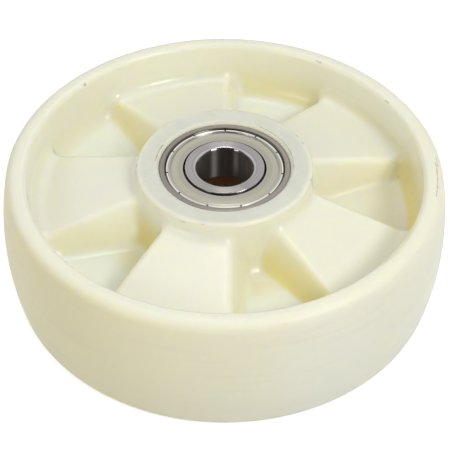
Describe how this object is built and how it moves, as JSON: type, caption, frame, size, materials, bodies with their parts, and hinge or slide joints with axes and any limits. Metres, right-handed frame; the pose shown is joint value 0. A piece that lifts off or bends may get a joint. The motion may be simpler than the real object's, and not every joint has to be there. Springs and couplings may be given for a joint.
{
  "type": "nylon wheel",
  "caption": "Moulded nylon castor wheel with a crowned tread, wedge spokes, deep pockets and a hub that holds a shielded ball bearing in each side.",
  "frame": {"origin": "centre of the wheel, on its axle axis, midway between its two flat sides", "axes": "+Z along the axle axis, out of the side seen in the picture; +X through the middle of a pocket"},
  "size_m": [0.16, 0.16, 0.05],
  "materials": {
    "nylon": "satin moulded",
    "ring_steel": "ground",
    "shield_steel": "pressed",
    "ball_steel": "polished",
    "cage_steel": "pressed",
    "rivet_steel": "plain"
  },
  "bodies": {
    "wheel": {"wheel_body": "nylon", "upper_outer_ring": "ring_steel", "upper_outer_shield": "shield_steel", "upper_inner_shield": "shield_steel", "lower_outer_ring": "ring_steel", "lower_outer_shield": "shield_steel", "lower_inner_shield": "shield_steel"},
    "upper_inner_race": {"upper_inner_ring": "ring_steel"},
    "upper_ball_set": {"upper_cage_outer_half": "cage_steel", "upper_cage_inner_half": "cage_steel", "upper_cage_rivets": "rivet_steel", "upper_ball_1": "ball_steel", "upper_ball_2": "ball_steel", "upper_ball_3": "ball_steel", "upper_ball_4": "ball_steel", "upper_ball_5": "ball_steel", "upper_ball_6": "ball_steel", "upper_ball_7": "ball_steel", "upper_ball_8": "ball_steel"},
    "lower_inner_race": {"lower_inner_ring": "ring_steel"},
    "lower_ball_set": {"lower_cage_outer_half": "cage_steel", "lower_cage_inner_half": "cage_steel", "lower_cage_rivets": "rivet_steel", "lower_ball_1": "ball_steel", "lower_ball_2": "ball_steel", "lower_ball_3": "ball_steel", "lower_ball_4": "ball_steel", "lower_ball_5": "ball_steel", "lower_ball_6": "ball_steel", "lower_ball_7": "ball_steel", "lower_ball_8": "ball_steel"}
  },
  "joints": [
    {"name": "upper_inner_ring_spin", "type": "hinge", "parent": "wheel", "child": "upper_inner_race", "pos_m": [0, 0, 0.017], "axis": [0, 0, 1], "continuous": true},
    {"name": "upper_ball_set_spin", "type": "hinge", "parent": "wheel", "child": "upper_ball_set", "pos_m": [0, 0, 0.017], "axis": [0, 0, 1], "continuous": true},
    {"name": "lower_inner_ring_spin", "type": "hinge", "parent": "wheel", "child": "lower_inner_race", "pos_m": [0, 0, -0.017], "axis": [0, 0, 1], "continuous": true},
    {"name": "lower_ball_set_spin", "type": "hinge", "parent": "wheel", "child": "lower_ball_set", "pos_m": [0, 0, -0.017], "axis": [0, 0, 1], "continuous": true}
  ],
  "couplings": [
    {"joint": "upper_ball_set_spin", "follows": "upper_inner_ring_spin", "ratio": 0.38152},
    {"joint": "lower_ball_set_spin", "follows": "lower_inner_ring_spin", "ratio": 0.38152}
  ]
}
